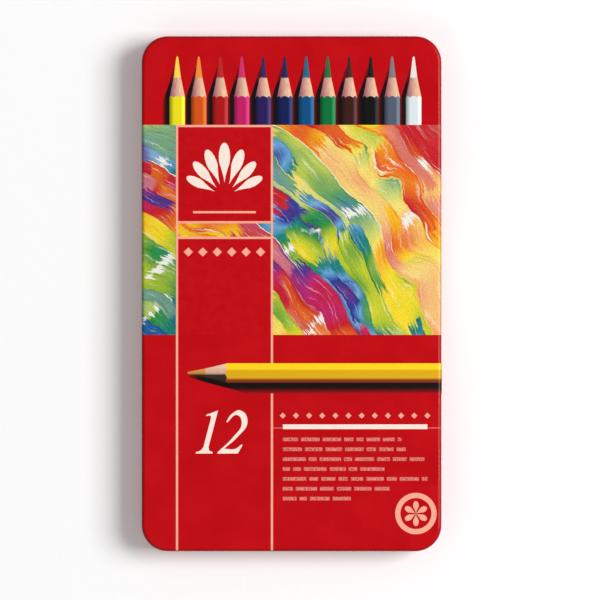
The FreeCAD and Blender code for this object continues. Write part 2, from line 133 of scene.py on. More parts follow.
class BandSizes(bpy.types.PropertyGroup):
    """Picture band, with the panel, the column and the rules that lie over it."""
    top: length("Band top", "Upper edge of the picture band", 61.9)
    bottom: length("Band bottom", "Lower edge of the picture band", -15.1)
    rule: length("Rule", "Width of the rules", 0.82)
    left: length("Column left", "Middle of the column's left rule", -42.0)
    right: length("Column right", "Middle of the column's right rule", -7.2)
    panel_bottom: length("Panel bottom", "Lower edge of the panel at the head of the column", 26.2)
    column_top: length("Column top", "Upper edge of the column below the panel", 20.5)


class RowSizes(bpy.types.PropertyGroup):
    """Row of printed pencils with their shadows."""
    first: length("Row start", "Middle of the first printed pencil", -41.9)
    pitch: length("Row pitch", "Step from one printed pencil to the next", 7.88)
    half_width: length("Half width", "Half the width of a printed pencil", 2.85)
    wood: length("Wood", "Where the lacquer of the printed pencils ends", 71.9)
    lead: length("Lead", "Where the leads of the printed pencils start", 79.2)
    tip: length("Tip", "Points of the printed pencils", 87.0)
    shadow_reach: length("Shadow reach", "How far a shadow shows beside its pencil", 2.6)
    shadow_drop: length("Shadow drop", "How far a shadow's cone starts below its pencil's", 2.0)
    shadow_short: length("Shadow short", "How far a shadow's point lies below its pencil's", 4.0)
    shadow_fade: length("Shadow fade", "How far below the wood and the tip a shadow's fade runs", 3.0)


class LongPencilSizes(bpy.types.PropertyGroup):
    """Long printed pencil with its shadow."""
    middle: length("Long pencil", "Middle line of the long printed pencil", -29.1)
    half_width: length("Half width", "Half the width of the long printed pencil", 3.6)
    wood: length("Wood", "Where the lacquer of the long pencil ends", -23.6)
    lead: length("Lead", "Where the lead of the long pencil starts", -31.6)
    tip: length("Tip", "Point of the long pencil", -38.2)
    shadow_reach: length("Shadow reach", "How far the shadow shows below the long pencil", 3.9)
    shadow_start: length("Shadow start", "How far right of the wood the shadow starts to taper", 8.0)
    shadow_short: length("Shadow short", "How far right of the lead and the tip the shadow's are", 1.0)
    shadow_fade: length("Shadow fade", "How far left of the wood the shadow starts to fade", 6.0)


class NoteSizes(bpy.types.PropertyGroup):
    """Number, bar, dots and ruled notes."""
    number_left: length("Number left", "Left end of the number's foot", -35.2)
    number_foot: length("Number foot", "Line that the number stands on", -58.6)
    number_height: length("Number height", "Height of the number", 15.8)
    number_slope: ratio("Number slope", "Lean of the numerals for each unit of height", 0.26)
    left: length("Notes left", "Left end of the ruled notes", -3.2)
    right: length("Notes right", "Right end of the longest ruled note", 49.8)
    bar_top: length("Bar top", "Upper edge of the bar over the notes", -47.9)
    bar_height: length("Bar height", "Height of the bar over the notes", 1.75)
    hairline: length("Hairline", "Width of the hairline that runs on from the bar", 0.3)
    hairline_share: ratio("Hairline share", "Share of the bar's height above the hairline", 0.75)
    dots_line: length("Dots", "Line of the row of dots over the bar", -44.7)
    dot_radius: length("Dot radius", "Middle of a dot to its corner", 1.1)
    top: length("Notes top", "Middle of the first ruled note", -53.4)
    step: length("Notes step", "Step from one ruled note to the next", 3.62)
    word_height: length("Word height", "Height of the bars in a ruled note", 1.3)
    word_least: length("Shortest word", "Shortest bar in a ruled note", 2.5)
    word_most: length("Longest word", "Longest bar in a ruled note", 9.0)
    word_gap: length("Word gap", "Gap between the bars of a ruled note", 1.1)
    word_rest: length("Rest", "End of a ruled note that is too short for a bar", 1.0)


class OrnamentSizes(bpy.types.PropertyGroup):
    """Fan of dabs, small rule, lozenges and seal."""
    fan_rise: length("Fan rise", "Point that the dabs turn about, above the panel's foot", 9.5)
    dab_reach: length("Dab reach", "Middle of a dab from the point that it turns about", 14.5)
    dab_width: length("Dab width", "Width of a dab", 4.2)
    dab_length: length("Dab length", "Length of a dab before its inner end is drawn out", 10.5)
    dab_turn: angle("Dab turn", "Turn from one dab to the next", 21)
    dab_shrink: ratio("Dab shrink", "Share by which each dab is smaller than the one inside it", 0.07)
    small_rule_half: length("Small rule half", "Half the length of the small rule", 11.5)
    small_rule_low: length("Small rule low", "Lower edge of the small rule above the panel's foot", 3.3)
    small_rule_high: length("Small rule high", "Upper edge of the small rule above the panel's foot", 4.1)
    lozenge_step: length("Lozenge step", "Step from one lozenge to the next", 5.3)
    lozenge_drop: length("Lozenge drop", "Lozenges below the column's head", 5.2)
    lozenge_radius: length("Lozenge radius", "Middle of a lozenge to its corner", 1.7)
    seal_x: length("Seal across", "Middle of the seal across the lid", 45.6)
    seal_y: length("Seal along", "Middle of the seal along the lid", -80.6)
    seal_radius: length("Seal radius", "Outside of the seal's ring", 7.6)
    seal_ring: length("Seal ring", "Width of the seal's ring", 1.9)
    leaf_reach: length("Leaf reach", "Middle of a leaf from the seal's middle", 3.0)
    leaf_width: length("Leaf width", "Width of a leaf", 2.1)
    leaf_length: length("Leaf length", "Length of a leaf before its inner end is drawn out", 3.2)


class TinColours(bpy.types.PropertyGroup):
    """Colours of the lacquer, the inks and the bare materials."""
    red: paint("Red", "Lacquer of the tin", 194, 3, 14)
    cream: paint("Cream", "Number, bar and fan", 255, 234, 220)
    blush: paint("Blush", "Rules, dots, lozenges and seal", 252, 174, 148)
    rose: paint("Rose", "Ruled notes", 244, 138, 126)
    paper: paint("Paper", "White ground of the picture", 252, 248, 238)
    shade: paint("Shade", "Printed shadows", 26, 6, 8)
    gold: paint("Gold", "Upper facet of the long printed pencil", 255, 216, 24)
    honey: paint("Honey", "Lower facet of the long printed pencil", 226, 172, 20)
    umber: paint("Umber", "Underside of the long printed pencil", 134, 52, 16)
    amber: paint("Amber", "Lead of the long printed pencil", 222, 152, 66)
    tin: paint("Tin", "Bare tinplate inside", 200, 200, 198)
    wood: paint("Wood", "Sharpened cedar", 240, 192, 164)
    wood_shade: paint("Wood shade", "Shaded side of the cedar in the printed row", 204, 134, 138)
    wood_light: paint("Wood light", "Lit side of the cedar in the printed row", 255, 208, 172)


class StageSizes(bpy.types.PropertyGroup):
    """Camera, floor and lamps."""
    frame_width: length("Frame", "Width of the picture at the lid", 220.0)
    aim_x: length("Aim across", "Point under the camera, across the lid", 3.1)
    aim_y: length("Aim along", "Point under the camera, along the lid", -2.3)
    height: length("Height", "Camera above the lid", 2000.0)
    floor: length("Floor", "Side of the floor", 4000.0)
    floor_drop: length("Floor drop", "Floor below the tin's rest face", 0.1)
    sky: ratio("Sky", "Strength of the even light from all round", 0.31)
    key_spot: spot("Key lamp", "Place of the lamp on the right", 2.45, 0.40, 2.48)
    key_side: length("Key side", "Side of the lamp on the right", 1800.0)
    key_power: power("Key power", "Power of the lamp on the right", 119.0)
    fill_spot: spot("Fill lamp", "Place of the weak lamp on the left", -1.5, -2.2, 3.0)
    fill_side: length("Fill side", "Side of the weak lamp on the left", 2000.0)
    fill_power: power("Fill power", "Power of the weak lamp on the left", 9.0)


def sizes():
    return bpy.context.scene.tin_sizes


def colours():
    return bpy.context.scene.tin_colours


def linear(colour, brightness=1.0):
    """Screen colour as the light that the shaders work with, made darker or brighter."""
    light = [part / 12.92 if part <= 0.04045 else ((part + 0.055) / 1.055) ** 2.4 for part in colour]
    return tuple(min(channel * brightness, 1.0) for channel in light) + (1.0,)


def tint(colour, share):
    """Screen colour mixed with white."""
    return tuple(part + (1 - part) * share for part in colour)


def grey(tone):
    """Plain grey, as the light that the shaders work with."""
    return (tone, tone, tone, 1.0)


# Painted shade over the lid's bend: tone of the print and lacquer from the foot of the bend zone up to the
# lid's top.
PAINTED_BEND_SHADE_TONES = ((0.0, 1.0), (0.3, 0.62), (0.75, 0.55), (0.96, 0.9), (1.0, 1.0))


class Finish:
    """One material, with short calls for the nodes that the finishes share."""

    def __init__(self, name, roughness=0.4, metallic=0.0, specular=0.5):
        self.material = bpy.data.materials.new(name)
        self.material.use_nodes = True
        self.tree = self.material.node_tree
        self.shader = self.tree.nodes["Principled BSDF"]
        settings = {"Roughness": roughness, "Metallic": metallic, "Specular IOR Level": specular}
        self.wire(self.shader, settings)

    def node(self, kind, **settings):
        node = self.tree.nodes.new(f"ShaderNode{kind}")
        for name, setting in settings.items():
            setattr(node, name, setting)
        return node

    def feed(self, socket, source):
        """Link a socket to another one, or set it to a constant."""
        if isinstance(source, bpy.types.NodeSocket):
            self.tree.links.new(source, socket)
        else:
            socket.default_value = source

    def wire(self, node, sources):
        """Feed several of a node's sockets, by name or by number."""
        for socket, source in sources.items():
            self.feed(node.inputs[socket], source)
        return node

    def place(self, centre=(0, 0, 0), unit=(MM, MM, MM), turn=0.0):
        """Object coordinates from a centre, turned about Z, in the given units."""
        mapping = self.node("Mapping", vector_type="TEXTURE")
        point = self.node("TexCoord").outputs["Object"]
        sources = {"Vector": point, "Location": centre, "Rotation": (0, 0, turn), "Scale": unit}
        return self.wire(mapping, sources).outputs["Vector"]

    def split(self, vector):
        return self.wire(self.node("SeparateXYZ"), {0: vector}).outputs

    def join(self, x, y, z=0.0):
        return self.wire(self.node("CombineXYZ"), {0: x, 1: y, 2: z}).outputs[0]

    def noise(self, vector, scale, detail=2.0, roughness=0.5, output="Fac"):
        sources = {"Vector": vector, "Scale": scale, "Detail": detail, "Roughness": roughness}
        return self.wire(self.node("TexNoise"), sources).outputs[output]

    def streaks(self, spot_sizes, detail=2.0, roughness=0.5, turn=0.0):
        """Noise whose spots have the given sizes in millimetres along X, Y and Z."""
        point = self.place(unit=tuple(size * MM for size in spot_sizes), turn=turn)
        return self.noise(point, 1.0, detail, roughness)

    def cells(self, vector, scale):
        """Distance to the nearest of scattered points."""
        node = self.wire(self.node("TexVoronoi"), {"Vector": vector, "Scale": scale})
        return node.outputs["Distance"]

    def math(self, operation, *sources):
        return self.wire(self.node("Math", operation=operation), dict(enumerate(sources))).outputs[0]

    def vector_math(self, operation, first, second):
        other = "Scale" if operation == "SCALE" else 1
        node = self.node("VectorMath", operation=operation)
        return self.wire(node, {0: first, other: second}).outputs[0]

    def reach(self, vector):
        return self.wire(self.node("VectorMath", operation="LENGTH"), {0: vector}).outputs["Value"]

    def fade(self, source, start, end, low=0.0, high=1.0):
        """Smooth step from low to high while the source goes from start to end."""
        node = self.node("MapRange", interpolation_type="SMOOTHSTEP")
        sources = {"Value": source, "From Min": start, "From Max": end, "To Min": low, "To Max": high}
        return self.wire(node, sources).outputs["Result"]

    def mix(self, factor, first, second, blend="MIX"):
        node = self.node("Mix", data_type="RGBA", blend_type=blend)
        return self.wire(node, {0: factor, 6: first, 7: second}).outputs[2]

    def ramp(self, factor, stops):
        """Colours that follow a factor from stop to stop."""
        node = self.node("ValToRGB")
        elements = node.color_ramp.elements
        while len(elements) < len(stops):
            elements.new(1.0)
        for element, (position, colour) in zip(elements, stops):
            element.position = position
            element.color = colour
        return self.wire(node, {0: factor}).outputs[0]

    def shades(self, factor, colour, dark, light, start=0.3, end=0.7):
        """Colour that goes from a darker to a lighter shade of itself."""
        return self.ramp(factor, ((start, linear(colour, dark)), (end, linear(colour, light))))

    def colour(self, source):
        self.wire(self.shader, {"Base Color": source})

    def colour_with_painted_bend_shade(self, source):
        """Base colour with painted shade where the lid's sheet bends down at its edge, darker over the
        bend.
        """
        _, _, rise = self.split(self.place((0, 0, LID_TOP), unit=(MM, MM, sizes().painted_shade_zone)))
        stops = [(place, grey(tone)) for place, tone in PAINTED_BEND_SHADE_TONES]
        self.colour(self.mix(1.0, source, self.ramp(self.math("ADD", rise, 1.0), stops), "MULTIPLY"))

    def gloss(self, source, low, high):
        """Roughness that wanders between two limits."""
        self.wire(self.shader, {"Roughness": self.fade(source, 0.3, 0.7, low, high)})

    def bump(self, height, strength, distance):
        sources = {"Height": height, "Strength": strength, "Distance": distance}
        self.wire(self.shader, {"Normal": self.wire(self.node("Bump"), sources).outputs[0]})

    def coat(self, weight, roughness):
        self.wire(self.shader, {"Coat Weight": weight, "Coat Roughness": roughness})


INK_SPECULAR = 0.15
PICTURE_SPECULAR = 0.2
VARNISH = {"low": 0.26, "high": 0.36}


def mottled(finish, colour, spread, scale):
    """Soft patches, and a colour that wanders a little either way with them."""
    patches = finish.noise(finish.place(), scale, detail=3.0)
    return patches, finish.shades(patches, colour, 1 - spread, 1 + spread, start=0.25, end=0.75)


def varnished_ink(name, colour, spread=0.05):
    """Printed ink under a clear varnish."""
    finish = Finish(name, specular=INK_SPECULAR)
    patches, tone = mottled(finish, colour, spread, scale=0.35)
    finish.colour_with_painted_bend_shade(tone)
    finish.gloss(patches, **VARNISH)
    return finish.material


def uneven_ink(name, colour, under):
    """Small print whose ink takes unevenly over the colour below it."""
    finish = Finish(name, specular=INK_SPECULAR)
    strokes = finish.streaks((0.45, 0.9, 1.0))
    stops = ((0.3, linear(under)), (0.44, linear(colour, 0.6)), (0.6, linear(colour)))
    finish.colour_with_painted_bend_shade(finish.ramp(strokes, stops))
    finish.gloss(strokes, **VARNISH)
    return finish.material


def red_lacquer(name):
    """Gloss lacquer rolled on tinplate, with faint clouds and an orange-peel skin."""
    finish = Finish(name, specular=INK_SPECULAR)
    clouds, tone = mottled(finish, colours().red, spread=0.07, scale=0.09)
    finish.colour_with_painted_bend_shade(tone)
    finish.gloss(clouds, low=0.22, high=0.34)
    finish.bump(finish.noise(finish.place(), 1.6, detail=1.0), strength=0.04, distance=0.05 * MM)
    return finish.material


def bare_tin(name):
    """Rolled tinplate with fine lines along its length and soft crystal patches."""
    finish = Finish(name, metallic=1.0)
    lines = finish.streaks((0.08, 6.0, 0.08), detail=3.0)
    spangle = finish.cells(finish.place(), scale=0.35)
    worn = finish.math("MULTIPLY_ADD", spangle, 0.25, lines)
    finish.colour(finish.shades(worn, colours().tin, dark=0.82, light=1.08, end=0.9))
    finish.gloss(lines, low=0.24, high=0.38)
    finish.bump(lines, strength=0.05, distance=0.02 * MM)
    return finish.material


def drawn_wire(name):
    """Steel wire with draw marks along it."""
    finish = Finish(name, metallic=1.0)
    marks = finish.streaks((0.05, 3.0, 0.05))
    finish.colour(finish.shades(marks, SLOT_COLOURS["hinge_wire"], dark=0.75, light=1.1))
    finish.gloss(marks, low=0.25, high=0.42)
    return finish.material


def moulded_plastic(name):
    """Off-white plastic with a fine spark-eroded skin and faint flow marks."""
    finish = Finish(name, specular=0.35)
    _, tone = mottled(finish, SLOT_COLOURS["tray_plastic"], spread=0.04, scale=0.05)
    finish.colour(tone)
    skin = finish.noise(finish.place(), 5.0)
    finish.gloss(skin, low=0.42, high=0.55)
    finish.bump(skin, strength=0.12, distance=0.03 * MM)
    return finish.material


def cut_cedar(name):
    """Cedar with growth lines along the pencil and small pores."""
    finish = Finish(name, specular=0.2)
    grain = finish.streaks((0.5, 9.0, 0.5), detail=4.0, roughness=0.6)
    pores = finish.streaks((0.12, 1.6, 0.12))
    wood = colours().wood
    stops = ((0.3, linear(wood, 0.62)), (0.5, linear(wood)), (0.72, linear(tint(wood, 0.25))))
    in_pore = finish.fade(pores, 0.62, 0.72, high=0.5)
    finish.colour(finish.mix(in_pore, finish.ramp(grain, stops), linear(wood, 0.45)))
    finish.gloss(grain, low=0.55, high=0.72)
    finish.bump(pores, strength=0.2, distance=0.04 * MM)
    return finish.material


def pencil_lacquer(name, colour):
    """Dipped gloss lacquer, a little deeper where it has run, with a clear top coat."""
    finish = Finish(name, specular=0.5)
    runs = finish.streaks((2.0, 14.0, 2.0))
    finish.colour(finish.shades(runs, colour, dark=0.88, light=1.06))
    finish.gloss(runs, low=0.16, high=0.26)
    finish.bump(runs, strength=0.06, distance=0.1 * MM)
    finish.coat(weight=0.6, roughness=0.08)
    return finish.material


def pigment_lead(name, colour):
    """Waxy pigment lead with turned marks and specks."""
    finish = Finish(name, specular=0.3)
    marks = finish.streaks((0.6, 0.18, 0.6), detail=3.0)
    finish.colour(finish.shades(marks, colour, dark=0.78, light=1.12))
    finish.gloss(marks, low=0.45, high=0.65)
    finish.bump(marks, strength=0.15, distance=0.04 * MM)
    return finish.material


# Places across a printed pencil, each with its share of light and of white.
ROW_FACETS = (
    (0.02, 0.3, 0.0), (0.15, 0.6, 0.0), (0.29, 0.95, 0.0), (0.74, 0.95, 0.0),
    (0.8, 1.25, 0.1), (0.94, 1.25, 0.2), (1.0, 1.0, 0.1),
)
LEAD_CONE = ((0.1, 0.6, 0.0), (0.4, 1.0, 0.0), (0.8, 1.0, 0.12), (1.0, 0.85, 0.0))
LONG_CONE = ((0.0, 0.02, 0.0), (0.4, 0.05, 0.0), (0.5, 0.8, 0.0), (0.75, 1.0, 0.1), (1.0, 1.0, 0.3))


def facets(colour, shares):
    """Ramp stops across a printed pencil or its cone, in one colour."""
    return tuple((place, linear(tint(colour, white), light)) for place, light, white in shares)


def row_cone():
    """Ramp stops across a cedar cone of the printed row, from its shaded to its lit side."""
    dark = colours().wood_shade
    lit = linear(colours().wood_light)
    middle = linear(colours().wood, 0.88)
    return ((0.08, linear(dark, 0.5)), (0.3, linear(dark)), (0.52, middle), (0.74, lit), (1.0, lit))


def long_facets():
    """Ramp stops across the long printed pencil, from its underside up."""
    umber = linear(colours().umber)
    honey = linear(colours().honey)
    return (
        (0.0, linear(colours().shade)), (0.04, umber), (0.15, umber),
        (0.27, honey), (0.62, honey), (0.72, linear(colours().gold)),
    )


SCALLOP_DEPTH = 0.6
SCALLOP_BLUR = 0.1
LEAD_WAVE = 1.2
LEAD_BLUR = 0.2
GRAIN_TONES = ((0.3, (0.66, 0.5, 0.46, 1)), (0.6, grey(1.0)))


def printed_pencil_ink(name, border, half_width, lead_start, lacquer, wood, lead, turn=0.0):
    """Printed picture of a pencil from the border of its cedar: lacquer, scalloped cedar and lead."""
    finish = Finish(name, specular=PICTURE_SPECULAR)
    across, along, _ = finish.split(finish.place(border, unit=(half_width, MM, MM), turn=turn))
    share = finish.math("MULTIPLY_ADD", across, 0.5, 0.5)
    off_middle = finish.math("ABSOLUTE", across)
    on_side = finish.math("GREATER_THAN", off_middle, 0.5)
    middle_arc = finish.math("COSINE", finish.math("MULTIPLY", off_middle, math.pi))
    wave = finish.math("SINE", finish.math("MULTIPLY", off_middle, math.tau))
    side_arc = finish.math("MULTIPLY", finish.math("ABSOLUTE", wave), on_side)
    arcs = finish.math("MAXIMUM", side_arc, middle_arc)
    past_border = finish.math("MULTIPLY_ADD", arcs, -SCALLOP_DEPTH, along)
    grain = finish.streaks((0.3, 2.5, 1.0), turn=turn)
    cone = finish.mix(0.6, finish.ramp(share, wood), finish.ramp(grain, GRAIN_TONES), "MULTIPLY")
    on_cone = finish.fade(past_border, -SCALLOP_BLUR, SCALLOP_BLUR)
    pencil = finish.mix(on_cone, finish.ramp(share, lacquer), cone)
    wavy = finish.math("MULTIPLY_ADD", grain, LEAD_WAVE, along)
    middle = lead_start / MM + LEAD_WAVE / 2
    on_lead = finish.fade(wavy, middle - LEAD_BLUR, middle + LEAD_BLUR)
    finish.colour_with_painted_bend_shade(finish.mix(on_lead, pencil, finish.ramp(share, lead)))
    finish.gloss(grain, **VARNISH)
    return finish.material


SHADOW_WAVE = 0.16
SHADOW_LEAST = 0.12


def printed_shadow_ink(name, edge, reach, fade_from, fade_to, turn=0.0):
    """Printed shadow: red at its outer edge, nearly black beside the pencil, paler towards its point."""
    finish = Finish(name, specular=PICTURE_SPECULAR)
    across, along, _ = finish.split(finish.place(edge, unit=(reach, MM, MM), turn=turn))
    grain = finish.noise(finish.place(), 0.9, detail=3.0)
    shifted = finish.math("SUBTRACT", across, SHADOW_WAVE / 2)
    wavy = finish.math("MULTIPLY_ADD", grain, SHADOW_WAVE, shifted)
    paler = finish.fade(along, fade_from / MM, fade_to / MM, low=1.0, high=SHADOW_LEAST)
    depth = finish.math("MINIMUM", wavy, paler)
    shade = colours().shade
    red = colours().red
    stops = (
        (0.0, linear(red, 0.85)), (0.18, linear(red, 0.35)),
        (0.5, linear(shade)), (0.85, linear(shade, 0.4)),
    )
    finish.colour(finish.ramp(depth, stops))
    finish.gloss(grain, low=0.28, high=0.38)
    return finish.material


WASHES = (
    (0.00, (28, 96, 160)), (0.05, (16, 128, 134)), (0.11, (52, 150, 70)), (0.17, (178, 202, 50)),
    (0.23, (254, 226, 44)), (0.30, (252, 186, 30)), (0.36, (240, 116, 26)), (0.43, (206, 30, 36)),
    (0.49, (200, 36, 112)), (0.54, (98, 50, 140)), (0.58, (46, 62, 152)), (0.61, (110, 172, 222)),
    (0.64, (22, 132, 136)), (0.68, (56, 152, 70)), (0.73, (190, 208, 50)), (0.79, (254, 228, 44)),
    (0.86, (252, 180, 32)), (0.92, (240, 112, 28)), (1.00, (206, 30, 40)),
)

# The picture is measured in units of ten millimetres from the band's middle.
PICTURE_UNIT = 10 * MM
ARC_PIVOT = (-8.6, -8.4, 0.0)
ARC_REACH = 10.0
HUE_START = 4.0
HUE_END = 19.0
STAGGER = 7
STROKE_LAYERS = (
    {"width": 1.5, "run": 5.0, "seed": 0.3, "least_chance": -1.0, "spread": 0.1},
    {"width": 0.9, "run": 3.0, "seed": 4.8, "least_chance": 0.25, "spread": 0.2},
    {"width": 0.5, "run": 2.0, "seed": 9.1, "least_chance": 0.6, "spread": 0.3},
)
TOOTH_TONES = ((0.32, (0.55, 0.55, 0.58, 1)), (0.58, grey(1.0)))


def wash_stops():
    """Ramp stops of the picture's washes, from colours of up to 255 a channel."""
    return tuple((place, linear(tuple(part / 255 for part in colour))) for place, colour in WASHES)


def brush_strokes(finish, reach, along, width, run, seed):
    """Strokes side by side along arcs: each one's place, its chances, and the way to its side and end."""
    lanes = finish.math("MULTIPLY_ADD", reach, 1 / width, seed)
    lane = finish.math("FLOOR", lanes)
    start = finish.wire(finish.node("TexWhiteNoise", noise_dimensions="1D"), {"W": lane})
    shift = finish.math("MULTIPLY", start.outputs["Value"], STAGGER)
    steps = finish.math("ADD", finish.math("DIVIDE", along, run), shift)
    stroke = finish.join(lane, finish.math("FLOOR", steps), seed)
    chances = finish.wire(finish.node("TexWhiteNoise", noise_dimensions="3D"), {"Vector": stroke})
    to_side = finish.math("MULTIPLY", finish.math("PINGPONG", lanes, 0.5), width)
    to_end = finish.math("MULTIPLY", finish.math("PINGPONG", steps, 0.5), run)
    own_reach = finish.math("MULTIPLY", finish.math("ADD", lane, 0.5 - seed), width)
    return own_reach, finish.split(chances.outputs["Color"]), to_side, to_end


def unsteady(finish, point, scale, detail, amount):
    """Shift of a point by noise, either way along each axis."""
    noise = finish.noise(point, scale, detail, output="Color")
    return finish.vector_math("SCALE", finish.vector_math("SUBTRACT", noise, (0.5, 0.5, 0.5)), amount)


def watercolour_picture(name, centre):
    """Loose brush strokes of watercolour along arcs, with drifting hues, on paper with a tooth."""
    finish = Finish(name, specular=PICTURE_SPECULAR)
    paper = linear(colours().paper)
    point = finish.place(centre, unit=(PICTURE_UNIT,) * 3)
    hand = finish.vector_math("ADD", point, unsteady(finish, point, scale=0.35, detail=1.0, amount=2.2))
    hand = finish.vector_math("ADD", hand, unsteady(finish, point, scale=4.0, detail=3.0, amount=0.16))
    from_pivot = finish.vector_math("SUBTRACT", hand, ARC_PIVOT)
    reach = finish.reach(from_pivot)
    x, y, _ = finish.split(from_pivot)
    along = finish.math("MULTIPLY", finish.math("ARCTAN2", y, x), ARC_REACH)
    hairs = finish.join(finish.math("MULTIPLY", reach, 13.0), along)
    bristles = finish.noise(hairs, 1.0, detail=3.0, roughness=0.6)
    wander = finish.math("MULTIPLY_ADD", finish.noise(point, 0.4, detail=1.0), 0.5, -0.25)
    picture = paper
    for layer in STROKE_LAYERS:
        spread = layer["spread"]
        own_reach, (chance, shift, depth), to_side, to_end = brush_strokes(
            finish, reach, along, layer["width"], layer["run"], layer["seed"])
        hue = finish.math("ADD", finish.fade(own_reach, HUE_START, HUE_END), wander)
        hue = finish.math("ADD", hue, finish.math("MULTIPLY_ADD", shift, spread, -spread / 2))
        ink = finish.ramp(hue, wash_stops())
        ink = finish.mix(finish.fade(depth, 0.5, 1.0, high=0.22), ink, paper)
        ink = finish.mix(finish.fade(bristles, 0.57, 0.74, high=0.6), ink, paper)
        ink = finish.mix(finish.fade(bristles, 0.48, 0.3, high=0.5), ink, ink, "MULTIPLY")
        ink = finish.mix(finish.fade(to_side, 0.09, 0.02, high=0.45), ink, ink, "MULTIPLY")
        dry_end = finish.math("MULTIPLY_ADD", bristles, -1.6, to_end)
        inside = finish.fade(to_side, 0.0, 0.03)
        stroke = finish.math("MULTIPLY", finish.fade(dry_end, -0.75, -0.6), inside)
        kept = finish.math("GREATER_THAN", chance, layer["least_chance"])
        picture = finish.mix(finish.math("MULTIPLY", stroke, kept), picture, ink)
    tooth = finish.noise(point, 16.0, detail=3.0, roughness=0.7)
    finish.colour_with_painted_bend_shade(finish.mix(0.5, picture, finish.ramp(tooth, TOOTH_TONES), "MULTIPLY"))
    finish.gloss(tooth, low=0.26, high=0.38)
    return finish.material


def start_fresh():
    """Leave edit mode and select nothing."""
    if bpy.context.object and bpy.context.object.mode != "OBJECT":
        bpy.ops.object.mode_set(mode="OBJECT")
    bpy.ops.object.select_all(action="DESELECT")


def name_piece(name):
    """Name the piece that was added last, and its mesh."""
    piece = bpy.context.object
    piece.name = piece.data.name = name
    return piece


def start_sheet(name, left, right, low, high, level):
    """Flat rectangle in edit mode, facing up, with its place in its mesh."""
    start_fresh()
    bpy.ops.mesh.primitive_plane_add(size=1, enter_editmode=True)
    bpy.ops.transform.resize(value=(right - left, high - low, 1), center_override=(0, 0, 0))
    bpy.ops.transform.translate(value=((left + right) / 2, (low + high) / 2, level))
    return name_piece(name)


def start_disc(name, x, y, level, radius, corners, stretch=1.0):
    """Flat disc in edit mode, stretched along Y, with its place in its mesh."""
    start_fresh()
    bpy.ops.mesh.primitive_circle_add(
        vertices=corners, radius=radius, fill_type="NGON", enter_editmode=True)
    bpy.ops.transform.resize(value=(1, stretch, 1), center_override=(0, 0, 0))
    bpy.ops.transform.translate(value=(x, y, level))
    return name_piece(name)


def pick(piece, kind, test):
    """Select the vertices or edges whose middle passes a test."""
    bpy.ops.mesh.select_mode(type=kind)
    bpy.ops.mesh.select_all(action="DESELECT")
    mesh = bmesh.from_edit_mesh(piece.data)
    for item in mesh.verts if kind == "VERT" else mesh.edges:
        corners = [item] if kind == "VERT" else item.verts
        middle = sum((corner.co for corner in corners), Vector()) / len(corners)
        if test(middle):
            item.select_set(True)
    bmesh.update_edit_mesh(piece.data)


def ink_level(layer):
    """Height of the upper face of a layer of print."""
    return LID_TOP + layer * sizes().ink


def over_ink(size, layer):
    """Half a side of the lid, or the radius of its bend, measured over a layer of print."""
    return size + layer * sizes().ink


BEND_SEGMENTS = 8
SMOOTH_ANGLE = math.radians(40)


def fold_down(piece, layer, at_end):
    """Carry the edges of a sheet that pass a test round the lid's bend and down its side."""
    level = ink_level(layer)

    def on_fold(middle):
        return at_end(middle) and middle.z > level - NEAR

    pick(piece, "EDGE", on_fold)
    bpy.ops.mesh.extrude_edges_move(TRANSFORM_OT_translate={"value": (0, 0, -sizes().skirt)})
    pick(piece, "EDGE", on_fold)
    radius = over_ink(sizes().edge_radius, layer)
    bpy.ops.mesh.bevel(offset=radius, segments=BEND_SEGMENTS, affect="EDGES")


def fold_right(piece, layer):
    """Carry the right end of a sheet over the lid's right edge."""
    end = over_ink(HALF_WIDTH, layer)
    fold_down(piece, layer, lambda middle: middle.x > end - NEAR)


def taper_on(piece, at, direction, distance, kept):
    """Grow a sheet on from one edge, drawn in to a share of its width, and return the new edge's middle."""
    pick(piece, "EDGE", lambda middle: (middle - at).length < NEAR)
    bpy.ops.mesh.extrude_edges_move(TRANSFORM_OT_translate={"value": direction * distance})
    end = at + direction * distance
    across = (kept, 1, 1) if abs(direction.y) > abs(direction.x) else (1, kept, 1)
    bpy.ops.transform.resize(value=across, center_override=end)
    return end


def thicken(piece, layer):
    """Close a sheet into a slab that starts just inside the lid's skin and ends at its layer."""
    bpy.ops.object.mode_set(mode="OBJECT")
    solid = piece.modifiers.new("thickness", "SOLIDIFY")
    solid.thickness = (layer + 1) * sizes().ink
    solid.offset = -1
    bpy.ops.object.modifier_apply(modifier=solid.name)
    bpy.ops.object.shade_smooth_by_angle(angle=SMOOTH_ANGLE)
    return piece


def copy_piece(source, name, offset=(0, 0, 0)):
    """Copy of a piece with its own mesh, moved within it."""
    start_fresh()
    source.select_set(True)
    bpy.context.view_layer.objects.active = source
    bpy.ops.object.duplicate(linked=False)
    piece = name_piece(name)
    bpy.ops.object.mode_set(mode="EDIT")
    bpy.ops.mesh.select_all(action="SELECT")
    bpy.ops.transform.translate(value=offset)
    bpy.ops.object.mode_set(mode="OBJECT")
    return piece


def join_pieces(name, pieces):
    """One piece from several, under one name."""
    start_fresh()
    for piece in pieces:
        piece.select_set(True)
    bpy.context.view_layer.objects.active = pieces[0]
    bpy.ops.object.join()
    return name_piece(name)


def turned_copies(first, pivot, turns):
    """A piece with copies of it, each turned anticlockwise about a pivot and drawn in towards it."""
    pieces = [first]
    for turn, scale in turns:
        piece = copy_piece(first, first.name)
        bpy.ops.object.mode_set(mode="EDIT")
        bpy.ops.mesh.select_all(action="SELECT")
        bpy.ops.transform.rotate(value=-turn, orient_axis="Z", center_override=pivot)
        bpy.ops.transform.resize(value=(scale, scale, 1), center_override=pivot)
        bpy.ops.object.mode_set(mode="OBJECT")
        pieces.append(piece)
    return pieces


def put_on_lid(piece, ink):
    """Give a printed piece its ink and let it move with the lid."""
    piece.data.materials.clear()
    piece.data.materials.append(ink)
    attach(piece, "lid")


def print_sheet(name, left, right, low, high, layer, ink):
    """Rectangle of print on the lid's flat top."""
    piece = start_sheet(name, left, right, low, high, ink_level(layer))
    put_on_lid(thicken(piece, layer), ink)


